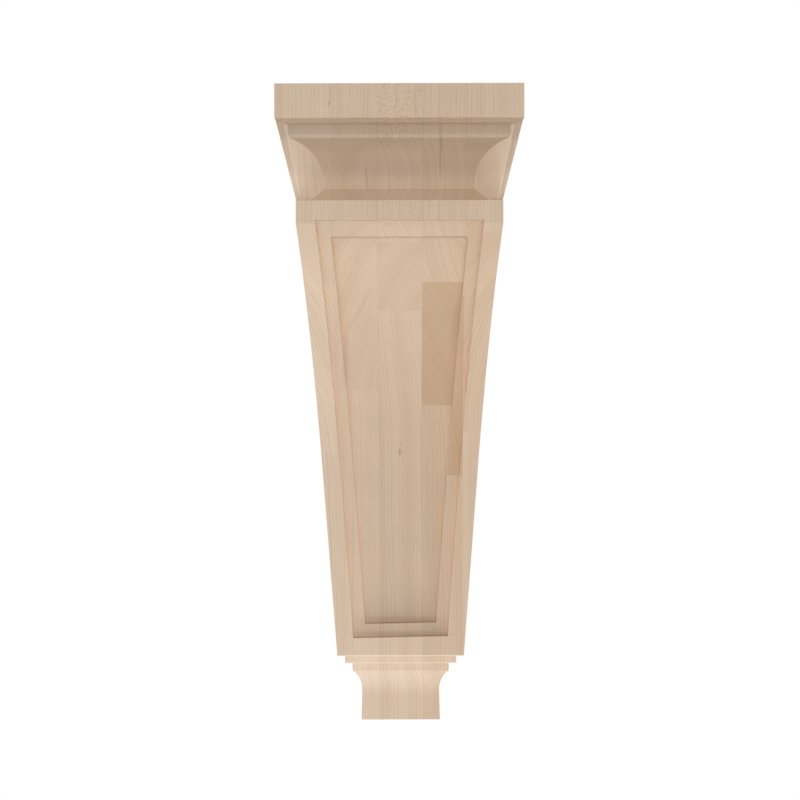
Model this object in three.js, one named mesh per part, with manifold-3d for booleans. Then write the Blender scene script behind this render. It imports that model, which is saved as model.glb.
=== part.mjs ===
// Wood corbel: one block, edge glued from upright maple staves and carved as one piece.
// Millimetres. +Z is up, the wall is the plane y = 0, and the front faces -Y.
// A projection is a distance out from the wall. A half width is measured from the centre plane.
// The origin is the point on the flat back where the corbel is fixed to its wall.

import * as THREE from 'three';
import { mergeVertices } from 'three/addons/utils/BufferGeometryUtils.js';
import Module from 'manifold-3d';

// Overall
const overallHeight = 457.2;
const fixingHeight = 400;

// Cap block
const capHalfWidth = 84.7;
const capProjection = 152.4;
const capHeight = 23.2;
const capFilletHeight = 2.1;
const capFilletStep = 5.7;

// Hollow between the cap and the body: a fillet with a round nose, a cove, a flat neck and a splayed foot
const hollowHeight = 53.9;
const coveFilletBackset = 14.4;
const coveFilletHeight = 5.9;
const coveNoseRadius = 3.5;
const coveRadius = 27.5;
const coveDepth = 23.3;
const neckHeight = 5.2;
const neckHalfWidth = 53.7;
const neckFootSplay = 10.6;
const hollowEndSlope = 1;

// Cheeks at the two ends of the hollow, with a front edge that leans back as it goes down
const cheekTopBackset = 12.4;
const cheekBottomSetback = 8.4;

// Body: a plumb band, then a concave sweep down to a plumb lower front
const bandHeight = 16.2;
const bandProjection = 137;
const bodyTopHalfWidth = 71.4;
const bodyBottomHalfWidth = 47.3;
const bodyBottomProjection = 47.5;
const sweepHeight = 178;

// Panel sunk in two steps, which reaches a little way up into the band
const panelTopRise = 2.6;
const panelStileWidth = 13;
const panelBottomRail = 14.2;
const panelStepWidth = 9.5;
const panelStepDepth = 6;

// Foot: two fillets, a cove and a plain block that splays a little
const footHeight = 51.2;
const footFilletHeight = 6.3;
const footFilletStep = 5.5;
const footCoveHeight = 16;
const footCoveDepth = 7.1;
const footSplay = 0.5;

// Facets on the round stretches
const sweepFacets = 40;
const coveFacets = 18;
const noseFacets = 8;
const footCoveFacets = 10;

// Heights and projections that follow from the sizes above
const bodyBottom = footHeight;
const capBottom = overallHeight - capHeight;
const bandTop = capBottom - hollowHeight;
const bandBottom = bandTop - bandHeight;
const coveFilletTop = capBottom - capFilletHeight;
const coveFilletProjection = capProjection - coveFilletBackset;
const neckProjection = coveFilletProjection - coveDepth;
const cheekTopProjection = capProjection - cheekTopBackset;
const cheekBottomProjection = bandProjection - cheekBottomSetback;
const sweepBottom = bandBottom - sweepHeight;
const sweepDepth = bandProjection - bodyBottomProjection;
const sweepRadius = (sweepHeight ** 2 + sweepDepth ** 2) / (2 * sweepDepth);
const sweepCentre = new THREE.Vector2(bodyBottomProjection + sweepRadius, sweepBottom);

// The nose's arc runs straight on into the cove's: the two touch where the curve turns over.
const noseCentre = new THREE.Vector2(
  coveFilletProjection - coveNoseRadius,
  coveFilletTop - coveFilletHeight,
);
const noseBackset = neckProjection + coveRadius - noseCentre.x;
const noseTurn = Math.acos(noseBackset / (coveNoseRadius + coveRadius));
const neckTop = noseCentre.y - (coveNoseRadius + coveRadius) * Math.sin(noseTurn);
const neckBottom = neckTop - neckHeight;

// Room that a cutting block has past the piece it cuts
const cutterMargin = 20;

const wasm = await Module();
wasm.setup();

// Points on an arc, from one angle to another, both measured from level, outwards from the wall.
function arcPoints(centre, radius, from, to, facets) {
  const points = [];
  for (let i = 0; i <= facets; i += 1) {
    const angle = from + (to - from) * i / facets;
    points.push(new THREE.Vector2(
      centre.x + radius * Math.cos(angle),
      centre.y + radius * Math.sin(angle),
    ));
  }
  return points;
}

// Points down the fillet's nose and on down the cove to the neck.
function hollowCurve() {
  const coveCentre = new THREE.Vector2(neckProjection + coveRadius, neckTop);
  const nose = arcPoints(noseCentre, coveNoseRadius, 0, -noseTurn, noseFacets);
  const cove = arcPoints(coveCentre, coveRadius, Math.PI - noseTurn, Math.PI, coveFacets);
  return [...nose, ...cove.slice(1)];
}

// Points up the foot's hollow arc, from its plumb lower end to its edge under the fillet.
function footCovePoints(edge) {
  const radius = (footCoveHeight ** 2 + footCoveDepth ** 2) / (2 * footCoveDepth);
  const top = bodyBottom - 2 * footFilletHeight;
  const centre = new THREE.Vector2(edge - footCoveDepth + radius, top - footCoveHeight);
  const turn = Math.asin(Math.min(1, footCoveHeight / radius));
  return arcPoints(centre, radius, Math.PI, Math.PI - turn, footCoveFacets);
}

// Points up the body's front, set back by a depth square to its surface.
function sweepPoints(setback, bottom, top) {
  const radius = sweepRadius + setback;
  const turn = Math.asin((top - sweepBottom) / radius);
  return [
    new THREE.Vector2(bodyBottomProjection - setback, bottom),
    ...arcPoints(sweepCentre, radius, Math.PI, Math.PI - turn, sweepFacets),
  ];
}

function pointList(pairs) {
  return pairs.map(([across, up]) => new THREE.Vector2(across, up));
}

// Turns a geometry into a solid that can be joined and cut.
function solidFrom(geometry) {
  geometry.deleteAttribute('normal');
  geometry.deleteAttribute('uv');
  const merged = mergeVertices(geometry, 1e-4);
  const vertProperties = new Float32Array(merged.attributes.position.array);
  const triVerts = new Uint32Array(merged.index.array);
  return new wasm.Manifold(new wasm.Mesh({ numProp: 3, vertProperties, triVerts }));
}

// Extrudes an outline drawn in the plane of two axes, from start to start + length along the third.
function extruded(points, across, up, start, length) {
  const geometry = new THREE.ExtrudeGeometry(new THREE.Shape(points), { depth: length, bevelEnabled: false });
  const along = new THREE.Vector3().crossVectors(across, up);
  geometry.translate(0, 0, start);
  geometry.applyMatrix4(new THREE.Matrix4().makeBasis(across, up, along));
  return solidFrom(geometry);
}

const right = new THREE.Vector3(1, 0, 0);
const outward = new THREE.Vector3(0, -1, 0);
const upward = new THREE.Vector3(0, 0, 1);

// An outline of projection and height, run across the corbel.
function acrossCorbel(points, halfWidth) {
  return extruded(points, outward, upward, -halfWidth, 2 * halfWidth);
}

// An outline of half width and height, run out from one projection to another.
function outFromWall(points, from, to) {
  return extruded(points, right, upward, from, to - from);
}

// The right half of an outline, from the bottom up, closed with its mirror image.
function mirrored(rightHalf) {
  const leftHalf = rightHalf.map((point) => new THREE.Vector2(-point.x, point.y)).reverse();
  return [...rightHalf, ...leftHalf];
}

// Side view of the block: foot, body, band, the cheeks' sloping front edge and the cap.
function sideOutline() {
  const filletTwo = bodyBottomProjection - 2 * footFilletStep;
  return [
    ...pointList([
      [0, 0],
      [filletTwo - footCoveDepth + footSplay, 0],
    ]),
    ...footCovePoints(filletTwo),
    ...pointList([
      [filletTwo, bodyBottom - footFilletHeight],
      [filletTwo + footFilletStep, bodyBottom - footFilletHeight],
      [filletTwo + footFilletStep, bodyBottom],
    ]),
    ...sweepPoints(0, bodyBottom, bandBottom),
    ...pointList([
      [bandProjection, bandTop],
      [cheekBottomProjection, bandTop],
      [cheekTopProjection, capBottom],
      [capProjection, capBottom],
      [capProjection, overallHeight],
      [0, overallHeight],
    ]),
  ];
}

// Front view of the block: the same foot mouldings return round the sides.
function frontOutline() {
  const filletOne = bodyBottomHalfWidth - footFilletStep;
  const filletTwo = filletOne - footFilletStep;
  return mirrored([
    ...pointList([[filletTwo - footCoveDepth + footSplay, 0]]),
    ...footCovePoints(filletTwo),
    ...pointList([
      [filletTwo, bodyBottom - footFilletHeight],
      [filletOne, bodyBottom - footFilletHeight],
      [filletOne, bodyBottom],
      [bodyBottomHalfWidth, bodyBottom],
      [bodyTopHalfWidth, bandBottom],
      [bodyTopHalfWidth, bandTop],
      [capHalfWidth, capBottom],
      [capHalfWidth, overallHeight],
    ]),
  ]);
}

// The upper fillet, tucked under the cap and stepped in at its two ends.
function capFillet() {
  const outline = pointList([
    [neckProjection, capBottom - capFilletHeight],
    [capProjection - capFilletStep, capBottom - capFilletHeight],
    [capProjection - capFilletStep, capBottom + capFilletHeight],
    [neckProjection, capBottom + capFilletHeight],
  ]);
  return acrossCorbel(outline, capHalfWidth - capFilletStep);
}

// What is carved out between the two cheeks, whose inner faces splay outwards to the front.
function hollow() {
  const frontLimit = capProjection + cutterMargin;
  const profile = [
    ...pointList([
      [frontLimit, bandTop],
      [frontLimit, coveFilletTop],
      [coveFilletProjection, coveFilletTop],
    ]),
    ...hollowCurve(),
    ...pointList([
      [neckProjection, neckBottom],
      [neckProjection + neckFootSplay, bandTop],
    ]),
  ];
  const mouthHalfWidth = neckHalfWidth + hollowEndSlope * (frontLimit - neckProjection);
  const rootHalfWidth = neckHalfWidth - hollowEndSlope * cutterMargin;
  const plan = pointList([
    [-rootHalfWidth, neckProjection - cutterMargin],
    [rootHalfWidth, neckProjection - cutterMargin],
    [mouthHalfWidth, frontLimit],
    [-mouthHalfWidth, frontLimit],
  ]);
  const ends = extruded(plan, right, outward, -capBottom, hollowHeight);
  return acrossCorbel(profile, mouthHalfWidth).intersect(ends);
}

// One step of the sunk panel: margin is its distance in from the band, rail and sides, and setback
// the depth of its floor, square to the front.
function panelStep(margin, setback) {
  const taper = (bodyTopHalfWidth - bodyBottomHalfWidth) / (bandBottom - bodyBottom);
  const top = bandBottom + panelTopRise - margin;
  const bottom = bodyBottom + panelBottomRail + margin;
  const floor = sweepPoints(setback, bottom, top);
  const frontLimit = bandProjection + cutterMargin;
  const profile = [
    ...floor.reverse(),
    ...pointList([
      [frontLimit, bottom],
      [frontLimit, top],
    ]),
  ];
  const halfWidthAt = (height) => (
    bodyTopHalfWidth - taper * (bandBottom - height) - panelStileWidth - margin
  );
  const outline = mirrored(pointList([
    [halfWidthAt(bottom), bottom],
    [halfWidthAt(top), top],
  ]));
  return acrossCorbel(profile, bodyTopHalfWidth).intersect(outFromWall(outline, 0, frontLimit));
}

function corbelSolid() {
  const side = acrossCorbel(sideOutline(), capHalfWidth + cutterMargin);
  const front = outFromWall(frontOutline(), -cutterMargin, capProjection + cutterMargin);
  return side
    .intersect(front)
    .add(capFillet())
    .subtract(hollow())
    .subtract(panelStep(0, panelStepDepth))
    .subtract(panelStep(panelStepWidth, 2 * panelStepDepth));
}

function geometryFrom(solid) {
  const { numProp, vertProperties, triVerts } = solid.getMesh();
  const geometry = new THREE.BufferGeometry();
  const positions = new THREE.InterleavedBuffer(vertProperties, numProp);
  geometry.setAttribute('position', new THREE.InterleavedBufferAttribute(positions, 3, 0));
  geometry.setIndex(new THREE.BufferAttribute(triVerts, 1));
  geometry.computeVertexNormals();
  return geometry;
}

const maple = new THREE.MeshStandardMaterial({ color: 0xd6bfa3, roughness: 0.62, metalness: 0 });

const corbel = new THREE.Mesh(geometryFrom(corbelSolid()), maple);
corbel.name = 'corbel';
corbel.position.z = -fixingHeight;

const part = new THREE.Group();
part.add(corbel);

export default part;
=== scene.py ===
# Wood corbel: one carved block of upright maple staves, fixed to its wall by its flat back.
# Metres. +Z is up, the wall is the plane y = 0, and the front faces -Y.
import math
import bmesh
import bpy
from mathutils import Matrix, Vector


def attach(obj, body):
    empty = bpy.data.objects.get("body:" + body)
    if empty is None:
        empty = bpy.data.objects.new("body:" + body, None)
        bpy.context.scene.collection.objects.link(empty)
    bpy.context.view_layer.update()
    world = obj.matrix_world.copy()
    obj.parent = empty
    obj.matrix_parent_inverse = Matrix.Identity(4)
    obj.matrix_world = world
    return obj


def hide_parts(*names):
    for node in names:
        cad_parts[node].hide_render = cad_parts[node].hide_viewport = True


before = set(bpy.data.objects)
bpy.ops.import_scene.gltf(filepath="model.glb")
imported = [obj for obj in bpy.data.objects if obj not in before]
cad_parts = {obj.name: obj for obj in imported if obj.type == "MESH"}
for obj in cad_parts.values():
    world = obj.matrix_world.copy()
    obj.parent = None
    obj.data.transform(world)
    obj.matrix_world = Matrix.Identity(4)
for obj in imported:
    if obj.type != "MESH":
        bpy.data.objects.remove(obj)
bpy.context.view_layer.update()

# The carved block.
# It is one piece of glued-up maple, with the cap, the hollow under it, the swept body, the sunk panel and the
# foot all moulded and carved in it, and it is fixed by its flat back. The cutter left one corner of the panel
# round and the panel's foot a little out of level, and sanding broke every arris.
arris = 0.0006
arris_facets = 3
inner_corner_share = 0.3
sharpest_smooth_turn = math.radians(14)
flat_turn = math.radians(0.3)
same_point = 1e-6
round_corner_radius = 0.0023
round_corner_facets = 5
round_corner_low = -0.055
round_corner_high = -0.036
panel_foot_low = -0.336
panel_foot_high = -0.324
panel_foot_lean = 0.021


def is_round_corner(edge):
    middle = (edge.verts[0].co + edge.verts[1].co) / 2
    run = (edge.verts[1].co - edge.verts[0].co).normalized()
    is_hollow = edge.is_manifold and not edge.is_convex
    runs_inwards = abs(run.y) > 0.98
    at_height = round_corner_low < middle.z < round_corner_high
    return is_hollow and runs_inwards and at_height and middle.x > 0.0


carving = bmesh.new()
carving.from_mesh(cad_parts["corbel"].data)
bmesh.ops.remove_doubles(carving, verts=carving.verts, dist=same_point)
bmesh.ops.dissolve_limit(carving, angle_limit=flat_turn, verts=carving.verts, edges=carving.edges)
bmesh.ops.bevel(
    carving,
    geom=[edge for edge in carving.edges if is_round_corner(edge)],
    affect="EDGES",
    offset=round_corner_radius,
    segments=round_corner_facets,
    profile=0.5,
)
for corner in carving.verts:
    if panel_foot_low < corner.co.z < panel_foot_high:
        corner.co.z += panel_foot_lean * corner.co.x
sharpness = carving.edges.layers.float.new("bevel_weight_edge")
for edge in carving.edges:
    if edge.is_manifold and edge.calc_face_angle() > sharpest_smooth_turn:
        edge[sharpness] = 1.0 if edge.is_convex else inner_corner_share
for face in carving.faces:
    face.smooth = True
block_mesh = bpy.data.meshes.new("carved_block")
carving.to_mesh(block_mesh)
carving.free()

block = bpy.data.objects.new("carved_block", block_mesh)
bpy.context.scene.collection.objects.link(block)
softened = block.modifiers.new("sanded arrises", "BEVEL")
softened.width = arris
softened.segments = arris_facets
softened.limit_method = "WEIGHT"
softened.use_clamp_overlap = True
even = block.modifiers.new("even shading", "WEIGHTED_NORMAL")
even.keep_sharp = False
even.weight = 100

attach(block, "root")
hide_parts("corbel")

# Its maple is glued up from upright staves about 32 mm wide, each built from three boards in its depth, and
# left bare. The sweep and the hollow cut through the boards, so that their growth rings run slantwise there
# and each board shows its own tone. Staves go from left to right here, and their boards outwards.
stave_joints = (-0.0797, -0.0478, -0.0158, 0.0163, 0.0462, 0.0782)
board_joints = (
    (0.050, 0.090),
    (0.0481, 0.085),
    (0.0445, 0.111),
    (0.070, 0.107),
    (0.0415, 0.0835),
    (0.050, 0.130),
    (0.050, 0.090),
)
board_tones = (
    (0.50, 0.50, 0.48),
    (0.56, 0.66, 0.62),
    (0.64, 0.56, 0.52),
    (0.56, 0.44, 0.54),
    (0.40, 0.04, 0.46),
    (0.50, 0.36, 0.50),
    (0.50, 0.50, 0.48),
)
board_leans = (
    (0.70, 0.70, 0.70),
    (0.66, 0.76, 0.74),
    (0.36, 0.26, 0.28),
    (0.48, 0.27, 0.72),
    (0.60, 0.73, 0.64),
    (0.40, 0.28, 0.30),
    (0.34, 0.34, 0.34),
)
lowest_board_end = -0.215
schedule_half_width = 0.1
glue_line_width = 0.00025


def new_group(name, inputs, outputs):
    tree = bpy.data.node_groups.new(name, "ShaderNodeTree")
    for label, kind in inputs:
        tree.interface.new_socket(label, in_out="INPUT", socket_type="NodeSocket" + kind)
    for label, kind in outputs:
        tree.interface.new_socket(label, in_out="OUTPUT", socket_type="NodeSocket" + kind)
    return tree, tree.nodes.new("NodeGroupInput").outputs, tree.nodes.new("NodeGroupOutput").inputs


def feed(tree, socket, value):
    if isinstance(value, bpy.types.NodeSocket):
        tree.links.new(value, socket)
    else:
        socket.default_value = value


def put(tree, kind, values=(), **settings):
    node = tree.nodes.new("ShaderNode" + kind)
    for name, setting in settings.items():
        setattr(node, name, setting)
    for socket, value in dict(values).items():
        feed(tree, node.inputs[socket], value)
    return node


def calc(tree, operation, *terms):
    return put(tree, "Math", enumerate(terms), operation=operation).outputs[0]


def vector(tree, across, out, up):
    return put(tree, "CombineXYZ", {"X": across, "Y": out, "Z": up}).outputs[0]


def ramp(tree, value, low, high):
    values = {"Value": value, "From Min": low, "From Max": high}
    return put(tree, "MapRange", values, interpolation_type="SMOOTHSTEP").outputs[0]


# Which board a point lies in, its tone and the lean of its rings, and how near a glue line is.
tree, given, made = new_group(
    "glued_boards",
    [("Point", "Vector")],
    [("Board", "Vector"), ("Tone", "Float"), ("Lean", "Float"), ("Glue Line", "Float")],
)
place = put(tree, "SeparateXYZ", {0: given["Point"]}).outputs
projection = calc(tree, "MULTIPLY", place["Y"], -1.0)
along_schedule = calc(tree, "MULTIPLY_ADD", place["X"], 0.5 / schedule_half_width, 0.5)


def stave_schedule(tree, rows):
    schedule = put(tree, "ValToRGB", {"Fac": along_schedule})
    stops = schedule.color_ramp
    stops.interpolation = "CONSTANT"
    for stave, row in enumerate(rows):
        start = -schedule_half_width if stave == 0 else stave_joints[stave - 1]
        position = 0.5 + 0.5 * start / schedule_half_width
        stop = stops.elements[0] if stave == 0 else stops.elements.new(position)
        stop.position = position
        unused_channels = [1.0] * (4 - len(row))
        stop.color = (*row, *unused_channels)
    stops.elements.remove(stops.elements[-1])
    return put(tree, "SeparateColor", {"Color": schedule.outputs["Color"]}).outputs


joints = stave_schedule(tree, board_joints)
above_end = calc(tree, "GREATER_THAN", place["Z"], lowest_board_end)
beyond_inner = calc(tree, "MULTIPLY", calc(tree, "GREATER_THAN", projection, joints["Red"]), above_end)
beyond_outer = calc(tree, "GREATER_THAN", projection, joints["Green"])


def pick(tree, rows):
    choices = stave_schedule(tree, rows)
    middle = calc(tree, "MULTIPLY", calc(tree, "SUBTRACT", choices["Green"], choices["Red"]), beyond_inner)
    outer = calc(tree, "MULTIPLY", calc(tree, "SUBTRACT", choices["Blue"], choices["Green"]), beyond_outer)
    return calc(tree, "ADD", choices["Red"], calc(tree, "ADD", middle, outer))


layer = calc(tree, "ADD", beyond_inner, beyond_outer)
feed(tree, made["Board"], vector(tree, joints["Red"], joints["Green"], layer))
feed(tree, made["Tone"], pick(tree, board_tones))
feed(tree, made["Lean"], pick(tree, board_leans))
nearest = schedule_half_width
for joint in stave_joints:
    from_joint = calc(tree, "ABSOLUTE", calc(tree, "SUBTRACT", place["X"], joint))
    nearest = calc(tree, "MINIMUM", nearest, from_joint)
feed(tree, made["Glue Line"], ramp(tree, nearest, glue_line_width, 0.0))
glued_boards = tree

# The hollow under the cap is cut across the grain. It gets painted shade, most of all on the nose at its top,
# and painted light on the lip at its foot. Its ends are cut flat, with a painted highlight line along their
# edge.
# Each pair is the two heights between which a painted tone comes in or fades. The painted tones go by height
# alone behind the cap's face, so they also run on across the plain back.
hollow_end = 0.0537
neck_projection = 0.1147
cap_face_projection = 0.149
edge_highlight_reach = (0.0009, 0.00027)
cap_underside = (0.0345, 0.0335)
nose_foot = (0.019, 0.025)
neck_top = (-0.006, 0.008)
lip_top = (0.004, -0.006)
lip_foot = (-0.0200, -0.0190)
nose_extra = 1.1
lip_light_share = 0.8
tree, given, made = new_group(
    "painted_hollow_shading",
    [("Point", "Vector"), ("Facing Sideways", "Float")],
    [("Painted Shading", "Float"), ("Edge Highlight", "Float")],
)
place = put(tree, "SeparateXYZ", {0: given["Point"]}).outputs
projection = calc(tree, "MULTIPLY", place["Y"], -1.0)
level = calc(tree, "SUBTRACT", 1.0, given["Facing Sideways"])
below_cap = ramp(tree, place["Z"], *cap_underside)
above_lip_foot = ramp(tree, place["Z"], *lip_foot)
under_cap = calc(tree, "LESS_THAN", projection, cap_face_projection)
cove = calc(tree, "MULTIPLY", ramp(tree, place["Z"], *neck_top), below_cap)
cove = calc(tree, "MULTIPLY", calc(tree, "MULTIPLY", cove, under_cap), level)
nose = calc(tree, "MULTIPLY_ADD", ramp(tree, place["Z"], *nose_foot), nose_extra, 1.0)
lip = calc(tree, "MULTIPLY", above_lip_foot, ramp(tree, place["Z"], *lip_top))
painted_lip_light = calc(tree, "MULTIPLY", calc(tree, "MULTIPLY", lip, under_cap), lip_light_share)
feed(tree, made["Painted Shading"], calc(tree, "SUBTRACT", calc(tree, "MULTIPLY", cove, nose), painted_lip_light))
past_end = calc(tree, "SUBTRACT", calc(tree, "ABSOLUTE", place["X"]), hollow_end)
past_neck = calc(tree, "SUBTRACT", projection, neck_projection)
from_edge = calc(tree, "ABSOLUTE", calc(tree, "SUBTRACT", past_end, past_neck))
line = calc(tree, "MULTIPLY", ramp(tree, from_edge, *edge_highlight_reach), level)
in_hollow = calc(tree, "MULTIPLY", calc(tree, "MULTIPLY", below_cap, above_lip_foot), under_cap)
feed(tree, made["Edge Highlight"], calc(tree, "MULTIPLY", line, in_hollow))
painted_hollow_shading = tree

# Small brown flecks and streaks: a pin knot low on the panel, darker streaks in the cap and the hollow, and a
# streak by the panel's right ledge that is dark heartwood with painted shade on it. Each is its place across
# and up, its half width and half height, its lean and its darkness. The last two are wide: painted shadow on
# the panel's foot just above its two ledges.
front_depth = 0.02
mark_fade = (1.8, 0.0)
tree, given, made = new_group("marks_and_ledge_shade", [("Point", "Vector")], [("Marks And Shade", "Float")])
place = put(tree, "SeparateXYZ", {0: given["Point"]}).outputs
marks_and_shade = 0.0
for across, up, half_width, half_height, lean, darkness in (
    (-0.0003, -0.1968, 0.0013, 0.0030, 0.00, 0.36),
    (0.0005, -0.1905, 0.0007, 0.0020, 0.00, 0.18),
    (-0.0474, 0.0437, 0.0009, 0.0020, 0.25, 0.30),
    (-0.0467, 0.0520, 0.0004, 0.0050, 0.00, 0.22),
    (0.0108, 0.0455, 0.0005, 0.0120, 0.00, 0.14),
    (0.0386, 0.0455, 0.0006, 0.0120, 0.00, 0.12),
    (-0.0231, -0.0015, 0.0007, 0.0100, -0.10, 0.22),
    (0.0287, 0.0150, 0.0010, 0.0180, 0.00, 0.24),
    (-0.0402, -0.1230, 0.0018, 0.0240, 0.05, 0.14),
    (-0.0325, -0.0960, 0.0022, 0.0190, 0.62, 0.09),
    # Dark heartwood by the right ledge, with painted shade from the ledge on it.
    (0.0405, -0.1050, 0.0030, 0.0220, 0.12, 0.10),
    # Painted shadow above the panel's two ledges.
    (0.0000, -0.3232, 0.0300, 0.0026, 0.00, 0.16),
    (0.0000, -0.3328, 0.0370, 0.0020, 0.00, 0.18),
):
    rise = calc(tree, "SUBTRACT", place["Z"], up)
    middle = calc(tree, "MULTIPLY_ADD", rise, lean, across)
    sideways = calc(tree, "DIVIDE", calc(tree, "SUBTRACT", place["X"], middle), half_width)
    upward = calc(tree, "DIVIDE", rise, half_height)
    reach = calc(tree, "MULTIPLY_ADD", sideways, sideways, calc(tree, "MULTIPLY", upward, upward))
    marks_and_shade = calc(tree, "MAXIMUM", marks_and_shade, calc(tree, "MULTIPLY", ramp(tree, reach, *mark_fade), darkness))
on_front = calc(tree, "LESS_THAN", place["Y"], -front_depth)
feed(tree, made["Marks And Shade"], calc(tree, "MULTIPLY", marks_and_shade, on_front))
marks_and_ledge_shade = tree

# Growth rings and pores, all running up through the solid wood, and the ray flecks of the quarter-sawn board
# in the middle of the cap. The rings lie round a pith that stands outside each stave, on the side that the
# board's lean gives. The three stretches are how fine the figure is across, out and up.
stave_width = 0.0318
block_middle = 0.085
pith_distance = 0.14
steepest_lean = math.radians(75)
lean_spread = math.radians(6)
ring_spacing = 0.0017
ring_wander = 0.005
wander_stretch = (20.0, 20.0, 4.4)
pore_stretch = (1500.0, 1500.0, 55.0)
fleck_stretch = (620.0, 620.0, 900.0)
band_fineness = 95.0
uneven_fineness = 160.0
uneven_share = 1.2
narrowest_ring = 0.7 * ring_spacing
ring_width_range = 0.8 * ring_spacing
late_wood_rise = (0.40, 0.85)
late_wood_fall = (1.0, 0.90)
faintest_ring = 0.25
pore_range = (0.52, 0.72)
fleck_range = (0.52, 0.66)
flecked_half_width = 0.0160
flecked_projection = 0.126
fleck_fade = 0.002
tree, given, made = new_group(
    "maple_grain",
    [("Point", "Vector"), ("Board", "Vector"), ("Lean", "Float")],
    [("Rings", "Float"), ("Bands", "Float"), ("Pores", "Float"), ("Flecks", "Float")],
)


def figure(tree, place, stretch, detail, roughness):
    stretched = [calc(tree, "MULTIPLY", place[axis], fineness) for axis, fineness in zip("XYZ", stretch)]
    values = {"Vector": vector(tree, *stretched), "Scale": 1.0, "Detail": detail, "Roughness": roughness}
    return put(tree, "TexNoise", values, noise_dimensions="3D").outputs["Fac"]


def from_ring_to_ring(tree, radius, fineness):
    values = {"W": calc(tree, "MULTIPLY", radius, fineness), "Scale": 1.0}
    return put(tree, "TexNoise", values, noise_dimensions="1D").outputs["Fac"]


board_draw = put(tree, "TexWhiteNoise", {"Vector": given["Board"]}, noise_dimensions="3D").outputs["Color"]
draws = put(tree, "SeparateColor", {"Color": board_draw}).outputs
place = put(tree, "SeparateXYZ", {0: given["Point"]}).outputs
lean = calc(tree, "MULTIPLY_ADD", given["Lean"], 2 * steepest_lean, -steepest_lean)
turn = calc(tree, "ADD", lean, calc(tree, "MULTIPLY_ADD", draws["Red"], 2 * lean_spread, -lean_spread))
centre = calc(tree, "SNAP", calc(tree, "ADD", place["X"], stave_width / 2), stave_width)
pith_across = calc(tree, "MULTIPLY", calc(tree, "COSINE", turn), pith_distance)
pith_out = calc(tree, "MULTIPLY", calc(tree, "SINE", turn), pith_distance)
across = calc(tree, "SUBTRACT", calc(tree, "SUBTRACT", place["X"], centre), pith_across)
out = calc(tree, "ADD", calc(tree, "ADD", place["Y"], block_middle), pith_out)
radius_squared = calc(tree, "ADD", calc(tree, "MULTIPLY", across, across), calc(tree, "MULTIPLY", out, out))
swirl = figure(tree, place, wander_stretch, 2.0, 0.5)
wander = calc(tree, "MULTIPLY_ADD", swirl, 2 * ring_wander, -ring_wander)
radius = calc(tree, "ADD", calc(tree, "SQRT", radius_squared), wander)
spacing = calc(tree, "MULTIPLY_ADD", draws["Green"], ring_width_range, narrowest_ring)
uneven = calc(tree, "MULTIPLY", from_ring_to_ring(tree, radius, uneven_fineness), uneven_share)
count = calc(tree, "ADD", calc(tree, "DIVIDE", radius, spacing), uneven)
year = calc(tree, "FRACT", count)
late_wood = calc(tree, "MULTIPLY", ramp(tree, year, *late_wood_rise), ramp(tree, year, *late_wood_fall))
ring_number = calc(tree, "FLOOR", count)
ring_draw = put(tree, "TexWhiteNoise", {"W": ring_number}, noise_dimensions="1D").outputs["Value"]
strength = calc(tree, "MULTIPLY_ADD", ring_draw, 1.0 - faintest_ring, faintest_ring)
feed(tree, made["Rings"], calc(tree, "MULTIPLY", late_wood, strength))
feed(tree, made["Bands"], from_ring_to_ring(tree, radius, band_fineness))
feed(tree, made["Pores"], ramp(tree, figure(tree, place, pore_stretch, 3.0, 0.6), *pore_range))
speckle = ramp(tree, figure(tree, place, fleck_stretch, 1.0, 0.5), *fleck_range)
in_stave = calc(tree, "LESS_THAN", calc(tree, "ABSOLUTE", place["X"]), flecked_half_width)
in_board = ramp(tree, place["Y"], -flecked_projection, -flecked_projection - fleck_fade)
feed(tree, made["Flecks"], calc(tree, "MULTIPLY", speckle, calc(tree, "MULTIPLY", in_stave, in_board)))
maple_grain = tree

# The bare maple puts these together, from the board's own tone up. The first two pairs say how squarely a face
# has to look sideways, or up or down, to get painted sheen or to be end grain.
side_facing = (0.40, 0.65)
end_facing = (0.60, 1.0)
dark_bands = (0.35, 0.7)
maple = bpy.data.materials.new("bare_maple")
maple.use_nodes = True
tree = maple.node_tree
shader = tree.nodes["Principled BSDF"]
point = put(tree, "TexCoord").outputs["Object"]
height = put(tree, "SeparateXYZ", {0: point}).outputs["Z"]
facing = put(tree, "SeparateXYZ", {0: put(tree, "NewGeometry").outputs["Normal"]}).outputs
facing_sideways = ramp(tree, calc(tree, "ABSOLUTE", facing["X"]), *side_facing)
end_grain = ramp(tree, calc(tree, "ABSOLUTE", facing["Z"]), *end_facing)


def place_group(tree, group, values):
    node = tree.nodes.new("ShaderNodeGroup")
    node.node_tree = group
    for socket, value in values.items():
        feed(tree, node.inputs[socket], value)
    return node.outputs


def blend(tree, amount, first, second):
    node = tree.nodes.new("ShaderNodeMix")
    node.data_type = "RGBA"
    feed(tree, node.inputs["Factor"], amount)
    feed(tree, node.inputs[6], first)
    feed(tree, node.inputs[7], second)
    return node.outputs[2]


boards = place_group(tree, glued_boards, {"Point": point})
grain = place_group(tree, maple_grain, {"Point": point, "Board": boards["Board"], "Lean": boards["Lean"]})
marks_and_shade = place_group(tree, marks_and_ledge_shade, {"Point": point})
hollow = place_group(tree, painted_hollow_shading, {"Point": point, "Facing Sideways": facing_sideways})

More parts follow.
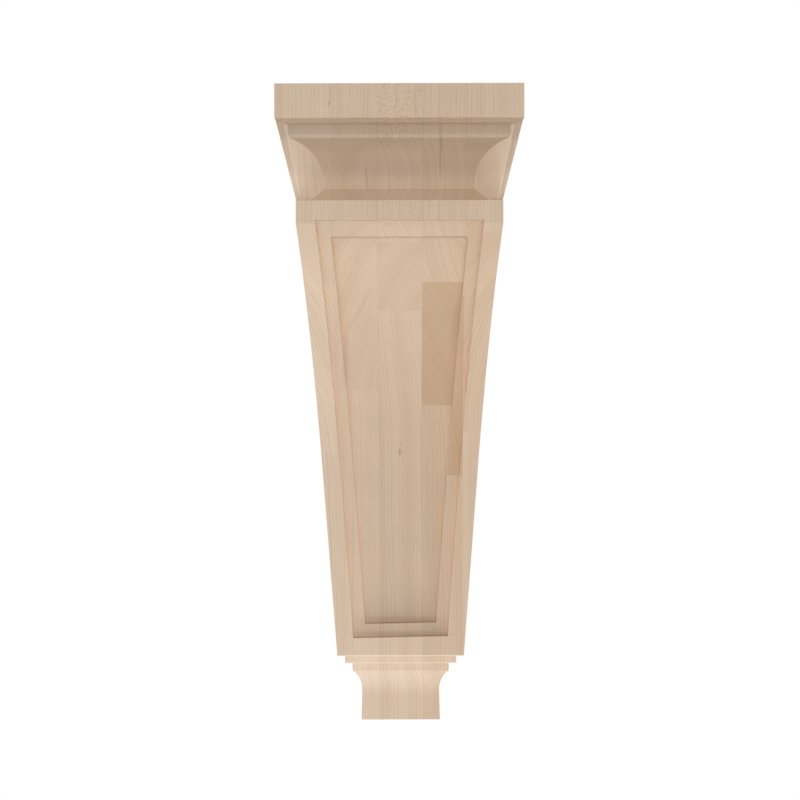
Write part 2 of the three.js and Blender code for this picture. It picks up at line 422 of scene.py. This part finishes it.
# The foot's mouldings get painted light, paler and brighter down to its plain end, and its two ledges a thin
# painted highlight line.
foot_top = (-0.3475, -0.3490)
foot_plain_end = (-0.385, -0.372)
foot_ledges = (-0.3488, -0.3551)
ledge_highlight_reach = (0.0008, 0.0003)
painted_foot_light = calc(tree, "MULTIPLY", ramp(tree, height, *foot_top), ramp(tree, height, *foot_plain_end))
painted_ledge_highlight = 0.0
for ledge in foot_ledges:
    from_ledge = calc(tree, "ABSOLUTE", calc(tree, "SUBTRACT", height, ledge))
    painted_ledge_highlight = calc(tree, "MAXIMUM", painted_ledge_highlight, ramp(tree, from_ledge, *ledge_highlight_reach))

pale = (0.781, 0.640, 0.502, 1.0)
warm = (0.575, 0.397, 0.258, 1.0)
brown = (0.470, 0.300, 0.175, 1.0)
knot_and_shade_brown = (0.260, 0.130, 0.060, 1.0)
glue = (0.420, 0.290, 0.180, 1.0)
painted_sheen_tint = (0.800, 0.690, 0.570, 1.0)
pale_painted_light_tint = (0.800, 0.750, 0.700, 1.0)
pale_highlight_tint = (0.930, 0.830, 0.680, 1.0)
colour = blend(tree, boards["Tone"], warm, pale)
for mask, depth, tint in (
    # Painted light on the foot.
    (painted_foot_light, 0.15, pale_painted_light_tint),
    (ramp(tree, grain["Bands"], *dark_bands), 0.12, brown),
    (grain["Rings"], 0.34, brown),
    (grain["Pores"], 0.10, brown),
    (grain["Flecks"], 0.38, brown),
    (boards["Glue Line"], 0.30, glue),
    # Brown marks, with painted shade among them.
    (marks_and_shade["Marks And Shade"], 1.00, knot_and_shade_brown),
    # Painted sheen on faces that look sideways.
    (facing_sideways, 0.30, painted_sheen_tint),
    # Painted highlight line on the hollow's ends.
    (hollow["Edge Highlight"], 0.80, painted_sheen_tint),
    # Painted highlight lines on the foot's ledges.
    (painted_ledge_highlight, 0.65, pale_highlight_tint),
):
    colour = blend(tree, calc(tree, "MULTIPLY", mask, depth), colour, tint)

# Each row is where the wood is lighter or darker, by how much, and its brightness elsewhere.
cloud_noise = {"Vector": point, "Scale": 42.0, "Detail": 2.0, "Roughness": 0.6}
cloud = put(tree, "TexNoise", cloud_noise).outputs["Fac"]
brightness = 1.0
for mask, change, elsewhere in (
    (end_grain, -0.20, 1.07),
    # Painted shade in the hollow, with painted light on its lip.
    (hollow["Painted Shading"], -0.11, 1.0),
    (cloud, 0.10, 0.95),
    # Painted light on the foot.
    (painted_foot_light, 0.09, 1.0),
):
    share = calc(tree, "MULTIPLY_ADD", mask, change, elsewhere)
    brightness = calc(tree, "MULTIPLY", brightness, share)
toned = put(tree, "HueSaturation", {"Value": brightness, "Color": colour})
feed(tree, shader.inputs["Base Color"], toned.outputs["Color"])
feed(tree, shader.inputs["Roughness"], calc(tree, "MULTIPLY_ADD", grain["Rings"], 0.10, 0.55))
shader.inputs["Specular IOR Level"].default_value = 0.35
relief = calc(tree, "MULTIPLY", calc(tree, "ADD", grain["Rings"], grain["Pores"]), 0.5)
bump = put(tree, "Bump", {"Strength": 0.25, "Distance": 0.0002, "Height": relief}, invert=True)
feed(tree, shader.inputs["Normal"], bump.outputs["Normal"])
block_mesh.materials.clear()
block_mesh.materials.append(maple)

# The studio.
# A pale floor that glows a little, well below the hung corbel, soft white light all round and large soft
# lamps: one in front and one far to each side, and weaker ones from above and from steeply below.
floor_height = -2.0
floor_reach = 3.0
floor_glow = 0.3
surround = 0.35
lamp_aim = Vector((0.0, -0.08, -0.17))

floor_mesh = bpy.data.meshes.new("floor")
sides = [(-1, -1), (1, -1), (1, 1), (-1, 1)]
corners = [(floor_reach * x, floor_reach * y, floor_height) for x, y in sides]
floor_mesh.from_pydata(corners, [], [(0, 1, 2, 3)])
pale_floor = bpy.data.materials.new("pale_floor")
pale_floor.use_nodes = True
pale_paint = pale_floor.node_tree.nodes["Principled BSDF"].inputs
pale_paint["Base Color"].default_value = (0.9, 0.9, 0.9, 1.0)
pale_paint["Roughness"].default_value = 0.9
pale_paint["Emission Color"].default_value = (1.0, 1.0, 1.0, 1.0)
pale_paint["Emission Strength"].default_value = floor_glow
floor_mesh.materials.append(pale_floor)
floor = bpy.data.objects.new("floor", floor_mesh)
bpy.context.scene.collection.objects.link(floor)

world = bpy.data.worlds.new("white_studio")
world.use_nodes = True
bpy.context.scene.world = world
tree = world.node_tree
backdrop = tree.nodes["Background"]
backdrop.inputs["Color"].default_value = (1.0, 1.0, 1.0, 1.0)
seen = put(tree, "LightPath").outputs["Is Camera Ray"]
feed(tree, backdrop.inputs["Strength"], calc(tree, "MULTIPLY_ADD", seen, 1.0 - surround, surround))


def lamp(name, place, width, height, power):
    light = bpy.data.lights.new(name, "AREA")
    light.shape = "RECTANGLE"
    light.size = width
    light.size_y = height
    light.energy = power
    holder = bpy.data.objects.new(name, light)
    holder.location = place
    holder.rotation_euler = (lamp_aim - Vector(place)).to_track_quat("-Z", "Y").to_euler()
    holder.visible_camera = False
    bpy.context.scene.collection.objects.link(holder)


lamp("front", (0.0, -2.4, -0.17), 1.2, 1.2, 14.6)
lamp("far_left", (-1.7, -0.3, -0.15), 0.6, 1.6, 14.1)
lamp("far_right", (1.7, -0.3, -0.15), 0.6, 1.6, 13.3)
lamp("steep_low", (0.0, -0.34, -1.1), 1.2, 0.25, 1.8)
lamp("above", (0.0, -1.0, 1.3), 1.6, 0.8, 1.7)

# The camera stands level in front of the corbel, a little above its middle, as in the photograph. The
# photograph leans by a seventh of a degree. The focal length is given in pixels of its 800 pixel frame.
camera_distance = 1.160
camera_height = -0.1574
focal_pixels = 1488.3
frame_pixels = 800
photo_lean = math.radians(0.138)
sensor = 36.0
camera = bpy.data.cameras.new("camera")
camera.sensor_width = sensor
camera.lens = focal_pixels / frame_pixels * sensor
tripod = bpy.data.objects.new("camera", camera)
tripod.location = (0.0, -camera_distance, camera_height)
tripod.rotation_euler = (math.radians(90), photo_lean, 0.0)
bpy.context.scene.collection.objects.link(tripod)
bpy.context.scene.camera = tripod
bpy.context.scene.view_settings.view_transform = "Standard"
